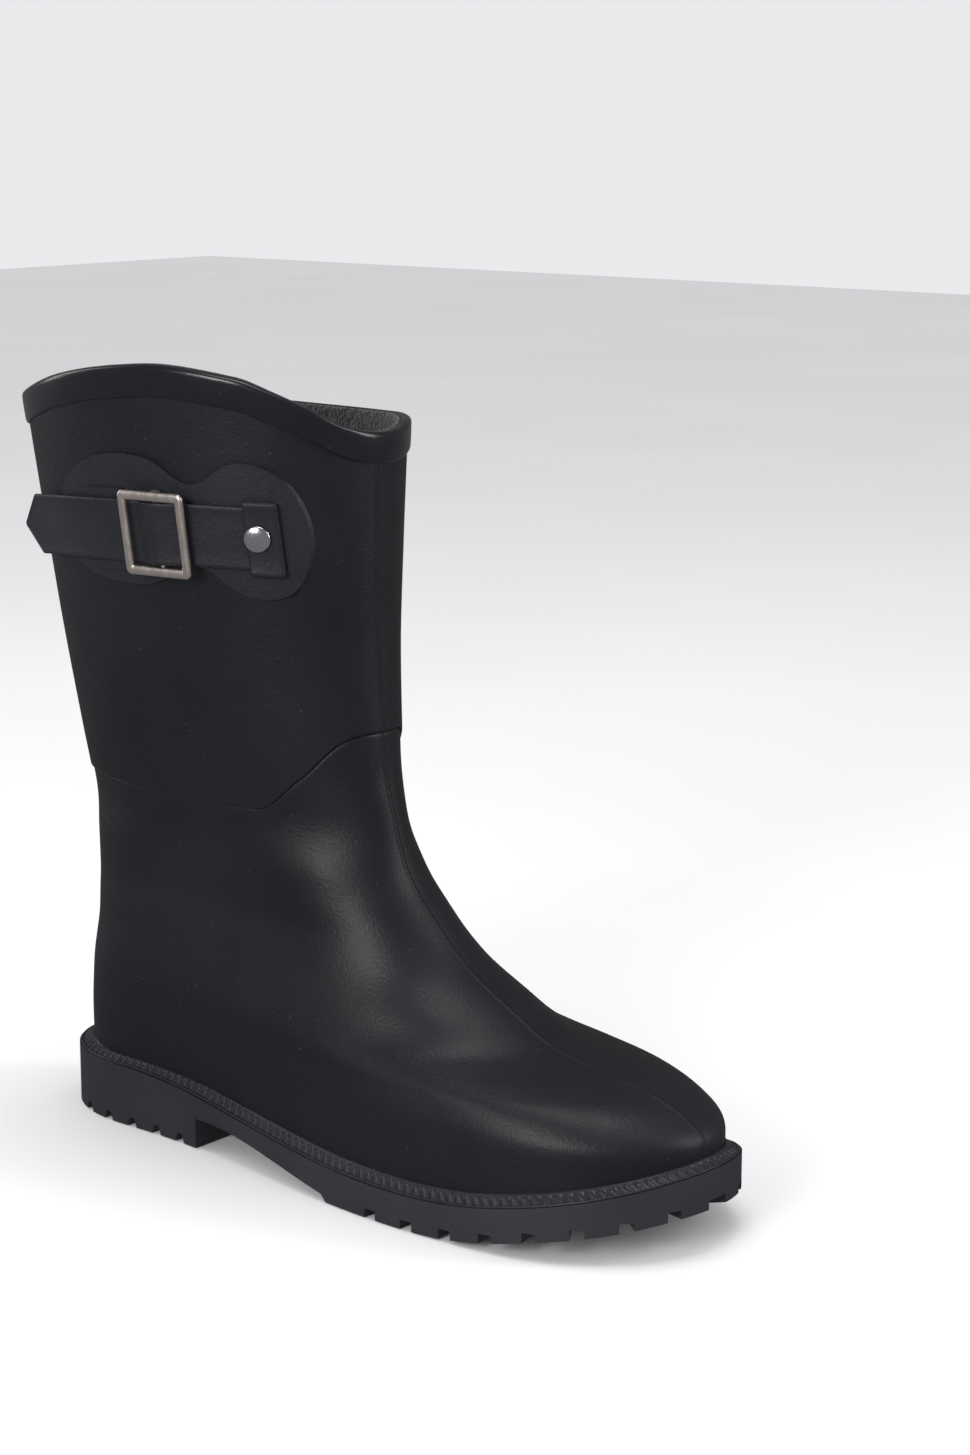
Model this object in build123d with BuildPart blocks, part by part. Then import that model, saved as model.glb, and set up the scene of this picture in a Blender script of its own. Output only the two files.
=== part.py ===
from build123d import *
import math
import os

# Right-foot rubber rain boot with a buckled strap, in millimetres.
# +X points to the toe, -Y is the outer (lateral) side, +Z is up, and the ground is z = 0.
# The origin is the middle of the boot's footprint on the ground.

# ---------------------------------------------------------------- driving dimensions
SOLE_BACK = -142.0
SOLE_FRONT = 144.0
SOLE_HEEL_HALF = 31.2
SOLE_BALL_HALF = 48.9
SOLE_HEEL_CAP = 42.8
SOLE_TOE_CAP = 68.0
FOOT_Y = 6.0                 # the foot's centre line, so that the whole boot is centred on y = 0
TOE_SWING = 9.5              # how far the toe turns towards the inner side
LEAN_START = 93.0            # the leg leans outward from this height up
LEAN_RATE = 0.058

LEG_FACE = 0.4               # the faces of the layers, measured out from the boot's base surface
FOOT_FACE = -0.4
LAP_INNER = -1.0
LAP_OUTER = -1.1
WALL_INNER = -2.4
LINING_OUTER = -2.5
LINING_INNER = -3.7
LINING_DROP = 0.4
LAP_DEPTH = 12.0
BOND = 0.1                   # glue line between bonded layers

BINDING_HEIGHT = 10.7
BINDING_FACE = 1.5
BINDING_CAP = 1.2

FEATHER_DROP = 4.5           # how far the upper sinks behind the sole's rim
SHELL_FLOOR = 2.1
LINING_FLOOR = 3.4
BOARD_TOP = 5.0
FOAM_TOP = 9.0
COVER_TOP = 9.9

HEEL_BREAST = -59.0
HEEL_FLOOR = 6.0
LUG_DEPTH = 3.3
LUG_GAP = 5.0
LUG_PITCH = 16.4
LUG_REACH = 15.0
HEEL_LUG_PITCH = 12.8
HEEL_LUG_FIRST = 9.0
HEEL_LUG_GAPS = 5

BUCKLE_X = -45.5
BUCKLE_Z = 231.3
BUCKLE_WIDTH = 27.4
BUCKLE_HEIGHT = 30.0
BUCKLE_BAR = 3.3
BUCKLE_THICK = 2.0
BUCKLE_CORNER = 2.2
BUCKLE_LIFT = 6.9            # middle of the frame, out from the base surface
CENTRE_BAR_LIFT = 4.0
CENTRE_BAR_RADIUS = 1.0

PATCH_INNER = LEG_FACE + BOND
PATCH_OUTER = 1.9
CHAPE_INNER = 2.0
CHAPE_OUTER = 2.9
CHAPE_HALF = 14.5
CHAPE_END_X = -79.0
NECK_HALF = 9.5              # the chape's neck passes through the buckle to its centre bar
NECK_END_X = -60.5
LOOP_WALL = 0.98
STRAP_THICK = 1.5
STRAP_HALF = 10.9
STRAP_END_X = -3.7
STRAP_JOINT_X = -64.0        # where the free end of the strap starts to bend
STRAP_JOINT_GAP = 1.2
TAIL_STRAIGHT_X = -101.0     # from here the free end runs straight, off the leg
END_HALF = 13.0              # the raised block at the riveted end
END_RAISE = 1.2
END_START_X = -13.9

RIVET_X = -12.3
RIVET_Z = 230.9
RIVET_CAP_RADIUS = 4.6
RIVET_CAP_THICK = 1.5
RIVET_CAP_LIFT = 4.75
RIVET_STEM_RADIUS = 1.6
RIVET_BASE_RADIUS = 3.5
RIVET_BASE_LIFT = 0.6
RIVET_BASE_THICK = 0.5

TOP = 300.0
REACH = 120.0
SIDE_LENGTH = 175.0
LOW = -60.0
HIGH = 340.0

# Each line lists (height, value) at the stations that give the boot its shape.
HEEL_LINE = [(0, -134), (23, -135), (37, -134.6), (58, -132.5), (80, -129.3), (110, -129.5),
             (132, -132.8), (150, -133.8), (186, -136.5), (225, -139), (266, -142), (300, -144.5)]
INSTEP_LINE = [(0, 135), (23, 139), (36, 139.3), (43, 133), (48.5, 122), (52.3, 105), (55, 90.5),
               (58.3, 77), (67, 61.5), (79, 43), (94, 29), (112, 17.2), (130, 12.4), (150, 9.2),
               (186, 8.2), (225, 9.9), (266, 12.8), (300, 15.4)]
HEEL_HALF = [(0, 26), (23, 27.5), (45, 29), (60, 29.6), (80, 28.6), (100, 27), (113, 27.6),
             (131, 31), (150, 35.3), (186, 41.1), (225, 46.2), (266, 50.6), (300, 54)]
BALL_HALF = [(0, 42), (23, 44.8), (37, 45), (48.5, 43), (58, 39), (67, 35.6), (79, 31.6),
             (94, 28.4), (113, 28), (131, 31.2), (150, 35.3), (186, 41.1), (225, 46.2),
             (266, 50.6), (300, 54)]
HEEL_CAP = [(0, 35), (95, 35.5), (110, 40), (131, 72.6), (150, 71.5), (186, 72.4), (225, 74.5),
            (266, 77.4), (300, 80)]
TOE_CAP = [(0, 69), (37, 69), (58, 63.5), (79, 48.5), (94, 41), (110, 42), (131, 72.6),
           (150, 71.5), (186, 72.4), (225, 74.5), (266, 77.4), (300, 80)]
SWING = [(0, 1.0), (37, 0.9), (58, 0.6), (79, 0.3), (94, 0.1), (112, 0.0), (300, 0.0)]
STATIONS = [2, 14, 26, 34, 39, 43, 46, 48.5, 50.5, 52.5, 54.5, 57, 60, 64, 69, 75, 83, 92,
            103, 118, 134, 152, 180, 215, 255, TOP]
LEG_FROM = 118               # the stations that the leg, foot and other pieces need
FOOT_TO = 180
BINDING_FROM = 215
PLATES_TO = 60

# Side profiles: (x, height) points along the boot.
RIM_LINE = [(-175, 22.6), (-142, 22.6), (-96, 22.4), (-62, 19.9), (-43, 17.7), (-23, 15.6),
            (0, 13.6), (22, 12.3), (50, 12.0), (72, 13.2), (90, 16.0), (115, 21.0), (130, 24.8),
            (144, 29.0), (175, 38)]
WAIST_LINE = [(HEEL_BREAST, 11.2), (-36, 10.4), (-18, 7.7), (0, 4.4), (11.5, 2.4)]
TREAD_START = (14.0, 0.0)
TREAD_FLAT_END = (56.0, 0.0)
TOE_SPRING = [(80, 2.0), (104, 6.6), (127, 11.2), (144, 15.4), (175, 23)]
STEP_LOW = 131.4             # the leg shell's lower edge: level round the heel and sides,
STEP_HIGH = 159.8            # then up in an S-bend to a higher level across the instep
STEP_BEND = [(-28.0, 0.0), (-10.0, 12.6), (8.0, 28.4)]
STEP_ENDS = (-175.0, 60.0)
TOPLINE_OUTER = [(-175, 262), (-145, 270), (-118, 277.5), (-89, 286), (-60, 291), (-38, 293),
                 (-14, 291.3), (-3, 286.5), (5, 280.5), (10, 273.5), (16, 267), (40, 258)]
TOPLINE_INNER = [(-175, 264), (-145, 264), (-60, 262.5), (-10, 261), (16, 260), (40, 259)]
OUTER_PLANE = 80.0
INNER_PLANE = -60.0
FEATHER_LINE = [(x, z - FEATHER_DROP) for x, z in RIM_LINE]

PATCH_OUTLINE = [(-98.5, 228), (-95, 241), (-84, 250.5), (-70, 255.5), (-55, 256.5),
                 (-44.5, 254), (-38, 249.5), (-32, 247.8), (-26, 249.8), (-20, 254.2),
                 (-11, 255.2), (-3.5, 250.5), (0.8, 241), (2, 229), (0, 218), (-4, 211),
                 (-10, 208.7), (-17.5, 209.8), (-24, 213.5), (-30, 218.3), (-37, 218),
                 (-52, 212), (-68, 210.6), (-84, 212.6), (-94.5, 218.5)]
BAND_ARC = [(-130.0, 223.9), (BUCKLE_X, BUCKLE_Z - 1.0), (6.0, 228.8)]
BAND_LEVELS = [204, 231, 258]
TIP_X = -124.5
TIP_Z = 224.4
TIP_SHOULDER_X = -113.5

# How far strips stand off the base surface: (x, lift), from the rivet towards the heel.
STRAP_LIFTS = [(-2.5, 2.0), (-12, 2.0), (-24, 2.1), (-32, 2.9), (-36.5, 3.7), (-41, 5.2),
               (BUCKLE_X, 6.2), (-50, 5.2), (-54.5, 3.7), (-58.5, 3.3),
               (STRAP_JOINT_X + STRAP_JOINT_GAP, 3.2)]
TAIL_LIFTS = [(STRAP_JOINT_X, 3.4), (-72, 3.4), (-81, 3.3), (-92, 2.8), (TAIL_STRAIGHT_X, 2.6)]
TAIL_RUNS = [10, 20, 30]
END_LIFTS = [(-1, 2.0), (-8, 2.0), (-14, 2.0), (-20, 2.0)]
CHAPE_LIFTS = [(BUCKLE_X, 2.0), (-56, 2.0), (-66, 2.0), (-80, 2.0)]

SHANK_MIDDLE_X = -43.0
SHANK_LENGTH = 92.0
SHANK_WIDTH = 14.0
SHANK_LOW = -1.4             # the shank's faces, measured up from the feather line
SHANK_HIGH = -0.2
WELT_STEP = 1.3
WELT_INSET = 0.6
WELT_LAYERS = 3
HEEL_WALL = 9.0


# ---------------------------------------------------------------- curves and surfaces
def value_at(line, t):
    """Value at t of a monotone cubic curve through a line's (t, value) points."""
    last = len(line) - 1
    i = max(0, min(last - 1, sum(1 for p in line[1:] if p[0] <= t)))
    rises = [(line[k + 1][1] - line[k][1]) / (line[k + 1][0] - line[k][0]) for k in range(last)]

    def slope(k):
        if k == 0 or k == last:
            return rises[min(k, last - 1)]
        if rises[k - 1] * rises[k] <= 0:
            return 0.0
        return 2 * rises[k - 1] * rises[k] / (rises[k - 1] + rises[k])

    (t0, v0), (t1, v1) = line[i], line[i + 1]
    span = t1 - t0
    s = (t - t0) / span
    bend = (2 * s**3 - 3 * s**2 + 1) * v0 + (3 * s**2 - 2 * s**3) * v1
    return bend + span * ((s**3 - 2 * s**2 + s) * slope(i) + (s**3 - s**2) * slope(i + 1))


def grown_line(line, outward, grow):
    """A heel or instep line moved outwards by grow, square to itself, as (height, x) points."""
    points = []
    for step in range(int(TOP * 2) + 1):
        z = step / 2
        slope = 2 * (value_at(line, z + 0.25) - value_at(line, z - 0.25))
        size = math.hypot(1, slope)
        points.append((z - grow * outward * slope / size, value_at(line, z) + grow * outward / size))
    return points


def height_value(points, z):
    """Straight-line value at height z in close (height, x) points."""
    for (z0, x0), (z1, x1) in zip(points, points[1:]):
        if z0 <= z <= z1:
            return x0 + (x1 - x0) * (z - z0) / max(z1 - z0, 1e-9)
    return points[0][1] if z < points[0][0] else points[-1][1]


def rounding(back, front, cap_back, cap_front, x):
    """Share of the full width that an outline has at x, rounded off at heel and toe."""
    heel = max(0.0, min(1.0, 1 - (x - back) / cap_back))
    toe = max(0.0, min(1.0, 1 - (front - x) / cap_front))
    return math.sqrt(1 - heel**2.2) * math.sqrt(1 - toe**2.2)


def centre_y(u, swing, z):
    lean = LEAN_RATE * max(0.0, z - LEAN_START)
    return FOOT_Y + swing * max(0.0, (u - 0.3) / 0.7) ** 1.5 - lean


def outline(back, front, half_back, half_front, cap_back, cap_front, swing, z, count=24):
    """Closed outline of the foot or leg at one height, from the heel round the outer side."""
    points = []
    for i in range(count):
        turn = 2 * math.pi * i / count
        u = (1 - math.cos(turn)) / 2
        x = back + u * (front - back)
        s = max(0.0, min(1.0, (u - 0.2) / 0.5))
        half = half_back + (half_front - half_back) * s * s * (3 - 2 * s)
        side = -half * rounding(back, front, cap_back, cap_front, x)
        points.append((x, centre_y(u, swing, z) + (side if math.sin(turn) >= 0 else -side)))
    return points


def body_outline(heel, instep, grow, z):
    return outline(
        height_value(heel, z),
        height_value(instep, z),
        value_at(HEEL_HALF, z) + grow,
        value_at(BALL_HALF, z) + grow,
        value_at(HEEL_CAP, z) + grow,
        value_at(TOE_CAP, z) + grow,
        TOE_SWING * value_at(SWING, z),
        z,
    )


def boot_sections(grow, low=0, high=TOP):
    """Level sections of the boot from low to high, its surface moved outwards by grow."""
    heel = grown_line(HEEL_LINE, -1, grow)
    instep = grown_line(INSTEP_LINE, 1, grow)
    sections = []
    for z in (station for station in STATIONS if low <= station <= high):
        with BuildSketch(Plane.XY.offset(z)) as section:
            with BuildLine():
                Spline(*body_outline(heel, instep, grow, z), periodic=True)
            make_face()
        sections.append(section.sketch)
    return sections


def sole_outline(grow):
    return outline(
        SOLE_BACK - grow,
        SOLE_FRONT + grow,
        SOLE_HEEL_HALF + grow,
        SOLE_BALL_HALF + grow,
        SOLE_HEEL_CAP + grow,
        SOLE_TOE_CAP + grow,
        TOE_SWING,
        0,
        count=48,
    )


def sole_face(grow, height):
    """The sole's plan at one height, its edge moved outwards by grow."""
    with BuildSketch(Plane.XY.offset(height)) as face:
        with BuildLine():
            Spline(*sole_outline(grow), periodic=True)
        make_face()
    return face.sketch


def side_profile(line, lift, far):
    """What lies between a side profile and the height far, in the boot's middle plane."""
    with BuildSketch(Plane.XZ) as profile:
        with BuildLine():
            edge = Spline(*[(x, z + lift) for x, z in line])
            Polyline(edge @ 1, ((edge @ 1).X, far), ((edge @ 0).X, far), edge @ 0)
        make_face()
    return profile.sketch


def step_profile(lift, far):
    """What lies between the leg shell's lower edge and the height far."""
    low = STEP_LOW + lift
    bend = [(x, low + rise) for x, rise in STEP_BEND]
    with BuildSketch(Plane.XZ) as profile:
        with BuildLine():
            back = Line((STEP_ENDS[0], low), bend[0])
            Spline(*bend, tangents=((1, 0), (1, 0)))
            front = Line(bend[-1], (STEP_ENDS[1], STEP_HIGH + lift))
            Polyline(front @ 1, (STEP_ENDS[1], far), (STEP_ENDS[0], far), back @ 0)
        make_face()
    return profile.sketch


def cut_below_step(lift=0.0):
    extrude(step_profile(lift, LOW), amount=REACH, both=True, mode=Mode.SUBTRACT)


def cut_above_step(lift=0.0):
    extrude(step_profile(lift, HIGH), amount=REACH, both=True, mode=Mode.SUBTRACT)


def cut_under(line, lift=0.0):
    extrude(side_profile(line, lift, LOW), amount=REACH, both=True, mode=Mode.SUBTRACT)


def cut_over(line, lift=0.0):
    extrude(side_profile(line, lift, HIGH), amount=REACH, both=True, mode=Mode.SUBTRACT)


def cut_topline(lift, far):
    """Removes what lies between the wavy top edge and the height far."""
    sections = []
    for plane_y, line in ((OUTER_PLANE, TOPLINE_OUTER), (INNER_PLANE, TOPLINE_INNER)):
        with BuildSketch(Plane.XZ.offset(plane_y)) as section:
            with BuildLine():
                edge = Spline(*[(x, z + lift) for x, z in line])
                Polyline(edge @ 1, ((edge @ 1).X, far), ((edge @ 0).X, far), edge @ 0)
            make_face()
        sections.append(section.sketch)
    loft(sections, ruled=True, mode=Mode.SUBTRACT)


def wall_y(x, z):
    """The base surface on the boot's outer side, above the ankle."""
    back = value_at(HEEL_LINE, z)
    front = value_at(INSTEP_LINE, z)
    cap_back = value_at(HEEL_CAP, z)
    cap_front = value_at(TOE_CAP, z)
    half = value_at(BALL_HALF, z) * rounding(back, front, cap_back, cap_front, x)
    return centre_y(0, 0, z) - half


def wall_plane(x, z, lift):
    """A plane lying on the outer side, lifted off it, with its Y pointing up the leg."""
    across = wall_y(x + 0.5, z) - wall_y(x - 0.5, z)
    upward = wall_y(x, z + 0.5) - wall_y(x, z - 0.5)
    normal = Vector(across, -1, upward).normalized()
    spot = Vector(x, wall_y(x, z), z) + normal * lift
    return Plane(spot, x_dir=Vector(1, across, 0).normalized(), z_dir=normal)


def wall_spot(x, z, lift, run=0.0):
    """A point lift away from the outer side, carried on straight towards the heel by run."""
    across = wall_y(x + 0.5, z) - wall_y(x - 0.5, z)
    size = math.hypot(1, across)
    return (x + (lift * across - run) / size, wall_y(x, z) - (lift + run * across) / size)


def band_sections(lifts, thick, runs=()):
    """Level sections of a strip that follows the leg at the given lifts, then runs straight."""
    stops = [(x, lift, 0) for x, lift in lifts] + [(*lifts[-1], run) for run in runs]
    sections = []
    for z in BAND_LEVELS:
        inner = [wall_spot(x, z, lift, run) for x, lift, run in stops]
        outer = [wall_spot(x, z, lift + thick, run) for x, lift, run in stops]
        with BuildSketch(Plane.XY.offset(z)) as section:
            with BuildLine():
                near = Spline(*inner)
                far = Spline(*outer)
                Line(near @ 0, far @ 0)
                Line(near @ 1, far @ 1)
            make_face()
        sections.append(section.sketch)
    return sections


def band_face(half, left, right):
    """A strip's outline seen from the boot's side: an arc-shaped band, half high each way."""
    with BuildSketch(Plane.XZ) as face:
        with BuildLine():
            top = ThreePointArc(*[(x, z + half) for x, z in BAND_ARC])
            low = ThreePointArc(*[(x, z - half) for x, z in BAND_ARC])
            Line(top @ 0, low @ 0)
            Line(top @ 1, low @ 1)
        make_face()
        with Locations(((left + right) / 2, BUCKLE_Z)):
            Rectangle(right - left, REACH, mode=Mode.INTERSECT)
    return face.sketch


# ---------------------------------------------------------------- the upper
with BuildPart() as inside_leg:
    loft(boot_sections(WALL_INNER, LEG_FROM), ruled=True)

with BuildPart() as lap_space:
    loft(boot_sections(LAP_INNER, LEG_FROM, FOOT_TO), ruled=True)
    cut_above_step(LAP_DEPTH + BOND)

with BuildPart() as leg_shell:
    loft(boot_sections(LEG_FACE, LEG_FROM), ruled=True)
    cut_below_step()
    cut_topline(-BINDING_CAP - BOND, HIGH)
    add(inside_leg.part, mode=Mode.SUBTRACT)
    add(lap_space.part, mode=Mode.SUBTRACT)

with BuildPart() as foot_tongue:
    loft(boot_sections(LAP_OUTER, LEG_FROM, FOOT_TO), ruled=True)
    cut_above_step(LAP_DEPTH)
    cut_below_step(-8)

with BuildPart() as foot_cavity:
    loft(boot_sections(WALL_INNER, 0, FOOT_TO), ruled=True)
    cut_under(FEATHER_LINE, SHELL_FLOOR)

with BuildPart() as foot_shell:
    loft(boot_sections(FOOT_FACE, 0, FOOT_TO), ruled=True)
    cut_above_step(-BOND)
    add(foot_tongue.part)
    cut_under(FEATHER_LINE, BOND)
    add(foot_cavity.part, mode=Mode.SUBTRACT)

with BuildPart() as binding_core:
    loft(boot_sections(LEG_FACE + BOND, BINDING_FROM), ruled=True)
    cut_topline(-BINDING_CAP, HIGH)

with BuildPart() as top_binding:
    loft(boot_sections(BINDING_FACE, BINDING_FROM), ruled=True)
    cut_topline(0, HIGH)
    cut_topline(-BINDING_HEIGHT, LOW)
    add(binding_core.part, mode=Mode.SUBTRACT)
    add(inside_leg.part, mode=Mode.SUBTRACT)

with BuildPart() as inside_lining:
    loft(boot_sections(LINING_INNER), ruled=True)
    cut_under(FEATHER_LINE, LINING_FLOOR)

with BuildPart() as sock_lining:
    loft(boot_sections(LINING_OUTER), ruled=True)
    cut_under(FEATHER_LINE, SHELL_FLOOR + BOND)
    cut_topline(-LINING_DROP, HIGH)
    add(inside_lining.part, mode=Mode.SUBTRACT)


# ---------------------------------------------------------------- inside the foot
with BuildPart() as insole_board:
    loft(boot_sections(LINING_INNER - 0.3, 0, PLATES_TO), ruled=True)
    cut_over(FEATHER_LINE, BOARD_TOP)
    cut_under(FEATHER_LINE, LINING_FLOOR + BOND)

with BuildPart() as footbed_foam:
    loft(boot_sections(LINING_INNER - 0.5, 0, PLATES_TO), ruled=True)
    cut_over(FEATHER_LINE, FOAM_TOP)
    cut_under(FEATHER_LINE, BOARD_TOP + BOND)

with BuildPart() as footbed_cover:
    loft(boot_sections(LINING_INNER - 0.5, 0, PLATES_TO), ruled=True)
    cut_over(FEATHER_LINE, COVER_TOP)
    cut_under(FEATHER_LINE, FOAM_TOP + BOND)


# ---------------------------------------------------------------- the sole
def lug_gaps():
    """Planes at the gaps between the forepart's tread lugs, square to the sole's edge."""
    edge = sole_outline(0)
    half = len(edge) // 2
    planes = []
    for points in (edge[: half + 1], [edge[0]] + edge[:half - 1:-1]):
        run = 0.0
        target = LUG_PITCH
        for (x0, y0), (x1, y1) in zip(points, points[1:]):
            length = math.hypot(x1 - x0, y1 - y0) if x0 >= TREAD_START[0] else 0.0
            while target <= run + length:
                share = (target - run) / length
                spot = (x0 + (x1 - x0) * share, y0 + (y1 - y0) * share, 0)
                planes.append(Plane(spot, x_dir=(x1 - x0, y1 - y0, 0), z_dir=(0, 0, 1)))
                target += LUG_PITCH
            run += length
    return planes


def tread_height(x):
    return value_at([(-SIDE_LENGTH, 0), TREAD_FLAT_END] + TOE_SPRING, x)


def heel_room(wall):
    """Plan of the hollow inside the heel, wall millimetres in from the heel's edge."""
    with BuildSketch(Plane.XY.offset(HEEL_FLOOR)) as room:
        add(sole_face(-wall, HEEL_FLOOR))
        with Locations((HEEL_BREAST - wall, 0)):
            Rectangle(SIDE_LENGTH * 2, REACH * 2, align=(Align.MIN, Align.CENTER),
                      mode=Mode.SUBTRACT)
    return room.sketch


with BuildPart() as upper_seat:
    loft(boot_sections(FOOT_FACE + BOND, 0, PLATES_TO), ruled=True)
    cut_under(FEATHER_LINE)

with BuildPart() as shank:
    with BuildSketch(Plane.XY):
        with Locations((SHANK_MIDDLE_X, FOOT_Y)):
            SlotOverall(SHANK_LENGTH, SHANK_WIDTH)
    extrude(amount=40)
    cut_over(FEATHER_LINE, SHANK_HIGH)
    cut_under(FEATHER_LINE, SHANK_LOW)

with BuildPart() as shank_slot:
    with BuildSketch(Plane.XY):
        with Locations((SHANK_MIDDLE_X, FOOT_Y)):
            SlotOverall(SHANK_LENGTH + 4 * BOND, SHANK_WIDTH + 4 * BOND)
    extrude(amount=60)
    cut_under(FEATHER_LINE, SHANK_LOW - BOND)

with BuildPart() as outsole:
    extrude(sole_face(0, -5), amount=70)
    cut_over(RIM_LINE)
    with BuildSketch(Plane.XZ):
        with BuildLine():
            breast = Line((HEEL_BREAST, LOW), (HEEL_BREAST, WAIST_LINE[0][1]))
            waist = Spline(*WAIST_LINE)
            first_lug = Line(waist @ 1, TREAD_START)
            Line(first_lug @ 1, TREAD_FLAT_END)
            spring = Spline(TREAD_FLAT_END, *TOE_SPRING, tangents=((1, 0), (2, 0.7)))
            Polyline(spring @ 1, (SIDE_LENGTH, LOW), breast @ 0)
        make_face()
    extrude(amount=REACH, both=True, mode=Mode.SUBTRACT)
    with Locations((0, 0, 0)):
        Box(2 * SIDE_LENGTH, 2 * REACH, -LOW, align=(Align.CENTER, Align.CENTER, Align.MAX),
            mode=Mode.SUBTRACT)
    for gap in lug_gaps():
        with BuildSketch(gap):
            Rectangle(LUG_GAP, 2 * LUG_REACH)
        extrude(amount=tread_height(gap.origin.X) + LUG_DEPTH, mode=Mode.SUBTRACT)
    for lug in range(HEEL_LUG_GAPS):
        with BuildSketch(Plane.XZ):
            with Locations((HEEL_BREAST - HEEL_LUG_FIRST - lug * HEEL_LUG_PITCH, 0)):
                Trapezoid(LUG_GAP + 2, 2 * LUG_DEPTH, 70)
        extrude(amount=REACH, both=True, mode=Mode.SUBTRACT)
    add(upper_seat.part, mode=Mode.SUBTRACT)
    add(shank_slot.part, mode=Mode.SUBTRACT)
    extrude(heel_room(HEEL_WALL), amount=30, mode=Mode.SUBTRACT)

with BuildPart() as heel_core:
    extrude(heel_room(HEEL_WALL + BOND), amount=30)
    cut_over(FEATHER_LINE, SHANK_LOW - BOND)
    with Locations((0, 0, 0)):
        Box(2 * SIDE_LENGTH, 2 * REACH, HEEL_FLOOR + BOND,
            align=(Align.CENTER, Align.CENTER, Align.MIN), mode=Mode.SUBTRACT)

welt_layers = []
for layer_number in range(WELT_LAYERS):
    with BuildPart() as welt_layer:
        extrude(sole_face(-WELT_INSET - layer_number * WELT_STEP, 0), amount=60)
        cut_over(RIM_LINE, (layer_number + 1) * WELT_STEP)
        cut_under(RIM_LINE, max(BOND, layer_number * WELT_STEP))
    welt_layers.append(welt_layer)

with BuildPart() as welt_strip:
    for welt_layer in welt_layers:
        add(welt_layer.part)
    add(upper_seat.part, mode=Mode.SUBTRACT)


# ---------------------------------------------------------------- the strap and its buckle
rivet_plane = wall_plane(RIVET_X, RIVET_Z, 0)
frame_plane = wall_plane(BUCKLE_X, BUCKLE_Z, BUCKLE_LIFT)
bar_plane = wall_plane(BUCKLE_X, BUCKLE_Z, CENTRE_BAR_LIFT)
bar_section = Plane(bar_plane.origin, x_dir=bar_plane.x_dir, z_dir=bar_plane.y_dir)

with BuildPart() as rivet_hole:
    with BuildSketch(rivet_plane):
        Circle(RIVET_STEM_RADIUS + 0.02)
    extrude(amount=10)
    with BuildSketch(rivet_plane):
        Circle(RIVET_BASE_RADIUS + BOND)
    extrude(amount=RIVET_BASE_LIFT + RIVET_BASE_THICK + 0.05)

with BuildPart() as strap_patch:
    with BuildSketch(Plane.XZ):
        with BuildLine():
            Spline(*PATCH_OUTLINE, periodic=True)
        make_face()
    extrude(amount=REACH)
    loft(boot_sections(PATCH_OUTER, FOOT_TO), ruled=True, mode=Mode.INTERSECT)
    loft(boot_sections(PATCH_INNER, FOOT_TO), ruled=True, mode=Mode.SUBTRACT)
    add(rivet_hole.part, mode=Mode.SUBTRACT)

with BuildPart() as end_block:
    loft(band_sections(END_LIFTS, STRAP_THICK + END_RAISE), ruled=True)
    extrude(band_face(END_HALF, END_START_X, STRAP_END_X), amount=REACH, mode=Mode.INTERSECT)

with BuildPart() as strap:
    loft(band_sections(STRAP_LIFTS, STRAP_THICK), ruled=True)
    extrude(band_face(STRAP_HALF, STRAP_JOINT_X - 5, STRAP_END_X), amount=REACH,
            mode=Mode.INTERSECT)
    add(end_block.part)
    add(rivet_hole.part, mode=Mode.SUBTRACT)

with BuildPart() as strap_tail:
    loft(band_sections(TAIL_LIFTS, STRAP_THICK, TAIL_RUNS), ruled=True)
    extrude(band_face(STRAP_HALF, TIP_X - 4, STRAP_JOINT_X + 2), amount=REACH,
            mode=Mode.INTERSECT)
    with BuildSketch(Plane.XZ):
        with BuildLine():
            Polyline((TIP_SHOULDER_X, TIP_Z + 20), (TIP_SHOULDER_X, TIP_Z + STRAP_HALF),
                     (TIP_X, TIP_Z), (TIP_SHOULDER_X, TIP_Z - STRAP_HALF),
                     (TIP_SHOULDER_X, TIP_Z - 20), (TIP_X - 40, TIP_Z - 20),
                     (TIP_X - 40, TIP_Z + 20), close=True)
        make_face()
    extrude(amount=REACH, mode=Mode.SUBTRACT)

with BuildPart() as buckle_bar:
    with BuildSketch(bar_section):
        Circle(CENTRE_BAR_RADIUS)
    extrude(amount=BUCKLE_HEIGHT / 2 - 1.0, both=True)

with BuildPart() as buckle_frame:
    with BuildSketch(frame_plane):
        RectangleRounded(BUCKLE_WIDTH, BUCKLE_HEIGHT, BUCKLE_CORNER)
        RectangleRounded(BUCKLE_WIDTH - 2 * BUCKLE_BAR, BUCKLE_HEIGHT - 2 * BUCKLE_BAR, 0.7,
                         mode=Mode.SUBTRACT)
    extrude(amount=BUCKLE_THICK / 2, both=True)
    front_edges = buckle_frame.edges().filter_by(
        lambda edge: abs(frame_plane.to_local_coords(edge @ 0.5).Z - BUCKLE_THICK / 2) < 0.01)
    fillet(front_edges, 0.6)
    with BuildSketch(bar_plane.offset(-1.4)):
        with Locations((0, BUCKLE_HEIGHT / 2 - 1.6), (0, 1.6 - BUCKLE_HEIGHT / 2)):
            Rectangle(3.6, 2.8)
    extrude(amount=BUCKLE_LIFT - CENTRE_BAR_LIFT + 1.4)
    add(buckle_bar.part, mode=Mode.SUBTRACT)

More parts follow.
